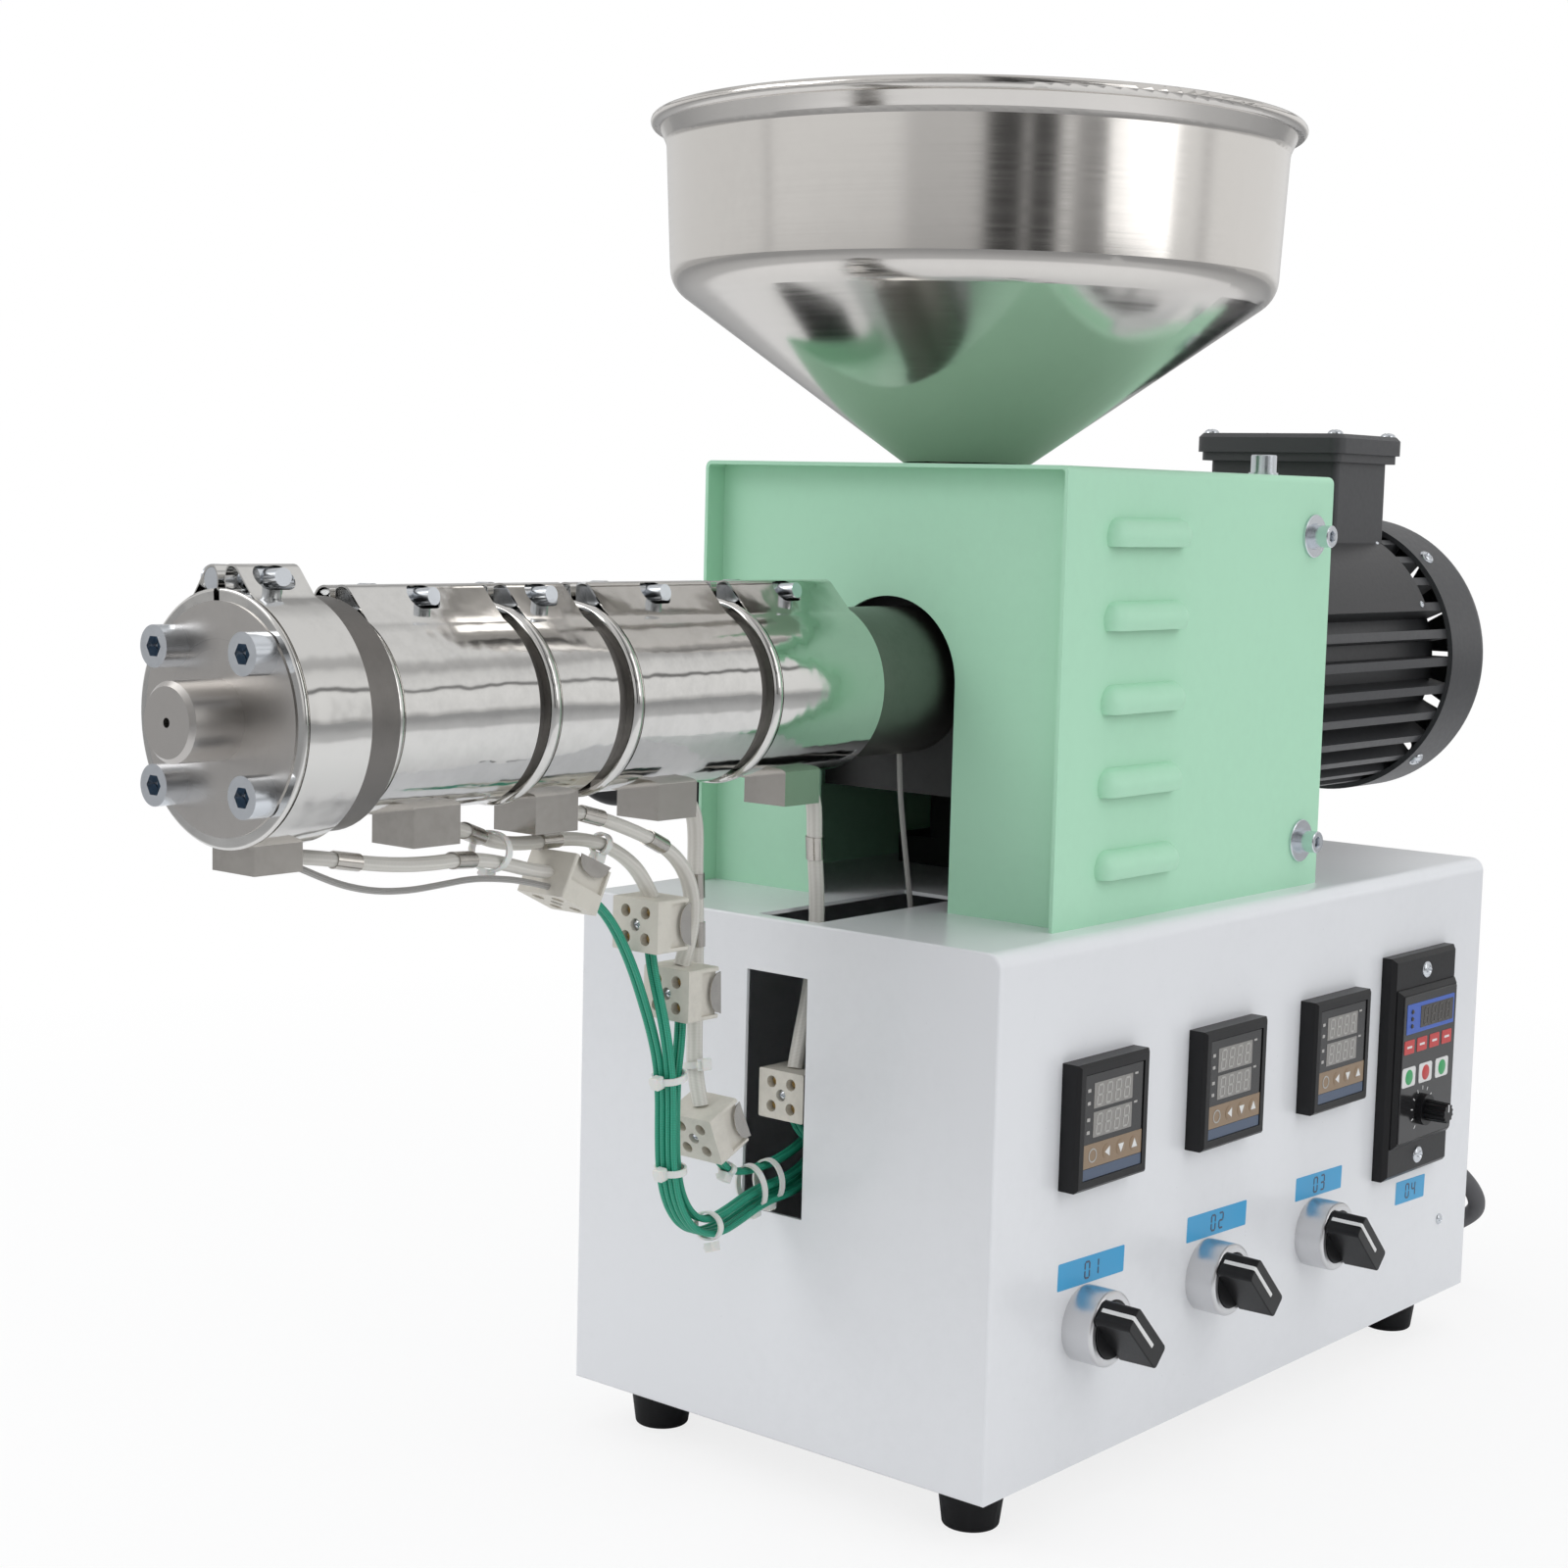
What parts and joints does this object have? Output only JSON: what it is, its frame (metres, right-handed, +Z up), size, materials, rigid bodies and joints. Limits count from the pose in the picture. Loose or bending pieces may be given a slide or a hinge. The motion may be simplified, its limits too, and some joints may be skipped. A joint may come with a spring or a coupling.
{
  "type": "single screw extruder",
  "caption": "Desktop single screw extruder with a steel hopper on a green louvred hood, a band-heated barrel, a geared motor and a white cabinet with side controls.",
  "frame": {"origin": "on the floor, midway between the four feet", "axes": "+Z up, -Y towards the die, +X towards the control panel"},
  "size_m": [0.2919, 0.794, 0.5295],
  "materials": {
    "cabinet_paint": "satin",
    "hood_paint": "satin powder coat",
    "hopper_steel": "polished",
    "band_steel": "polished sheet",
    "machined_steel": "turned",
    "zinc_steel": "zinc plated",
    "cast_block": "as cast, painted",
    "motor_paint": "black satin",
    "black_plastic": "satin moulded",
    "selector_ring": "bright turned",
    "foot_rubber": "matte",
    "ceramic": "unglazed",
    "white_sleeve": "woven glass sleeve",
    "green_wire": "braided",
    "cable_sheath": "satin"
  },
  "bodies": {
    "machine": {"cabinet_wrap": "cabinet_paint", "cabinet_front": "cabinet_paint", "cabinet_rear": "cabinet_paint", "cabinet_floor": "cabinet_paint", "rubber_feet": "foot_rubber", "hood_cover": "hood_paint", "hood_front_plate": "hood_paint", "hood_rear_plate": "hood_paint", "hopper": "hopper_steel", "hopper_neck": "hopper_steel", "feed_block": "cast_block", "gear_reducer": "cast_block", "barrel": "machined_steel", "die_plate": "machined_steel", "die_bolts": "zinc_steel", "die_heater_band": "band_steel", "die_band_clamp": "zinc_steel", "barrel_heater_band_1": "band_steel", "barrel_heater_band_2": "band_steel", "barrel_heater_band_3": "band_steel", "barrel_heater_band_4": "band_steel", "barrel_band_clamp_1": "zinc_steel", "barrel_band_clamp_2": "zinc_steel", "barrel_band_clamp_3": "zinc_steel", "barrel_band_clamp_4": "zinc_steel", "lead_boxes": "band_steel", "motor_frame": "motor_paint", "motor_fan_cowl": "motor_paint", "motor_terminal_box": "motor_paint", "motor_terminal_lid": "black_plastic", "temperature_controller_1": "black_plastic", "temperature_controller_2": "black_plastic", "temperature_controller_3": "black_plastic", "speed_controller": "black_plastic", "selector_bezels": "selector_ring", "blower_housing": "black_plastic", "blower_hub": "zinc_steel", "terminal_blocks": "ceramic", "heater_leads": "white_sleeve", "probe_leads": "white_sleeve", "blower_lead": "white_sleeve", "supply_wires": "green_wire", "cable_gland": "black_plastic", "mains_cable": "cable_sheath", "mains_coil": "cable_sheath", "mains_plug": "black_plastic"},
    "selector_1": {"selector_knob_1": "black_plastic"},
    "selector_2": {"selector_knob_2": "black_plastic"},
    "selector_3": {"selector_knob_3": "black_plastic"},
    "speed_dial": {"speed_knob": "black_plastic"},
    "screw": {"screw": "machined_steel"}
  },
  "joints": [
    {"name": "selector_1_turn", "type": "hinge", "parent": "machine", "child": "selector_1", "pos_m": [0.11575, -0.1315, 0.075], "axis": [-1, 0, 0], "range_deg": [0, 90]},
    {"name": "selector_2_turn", "type": "hinge", "parent": "machine", "child": "selector_2", "pos_m": [0.11575, -0.0439, 0.075], "axis": [-1, 0, 0], "range_deg": [0, 90]},
    {"name": "selector_3_turn", "type": "hinge", "parent": "machine", "child": "selector_3", "pos_m": [0.11575, 0.0437, 0.075], "axis": [-1, 0, 0], "range_deg": [0, 90]},
    {"name": "speed_dial_turn", "type": "hinge", "parent": "machine", "child": "speed_dial", "pos_m": [0.11175, 0.1225, 0.117], "axis": [-1, 0, 0], "range_deg": [0, 270]},
    {"name": "screw_turn", "type": "hinge", "parent": "machine", "child": "screw", "pos_m": [0, -0.2, 0.3108], "axis": [0, 1, 0], "continuous": true}
  ]
}
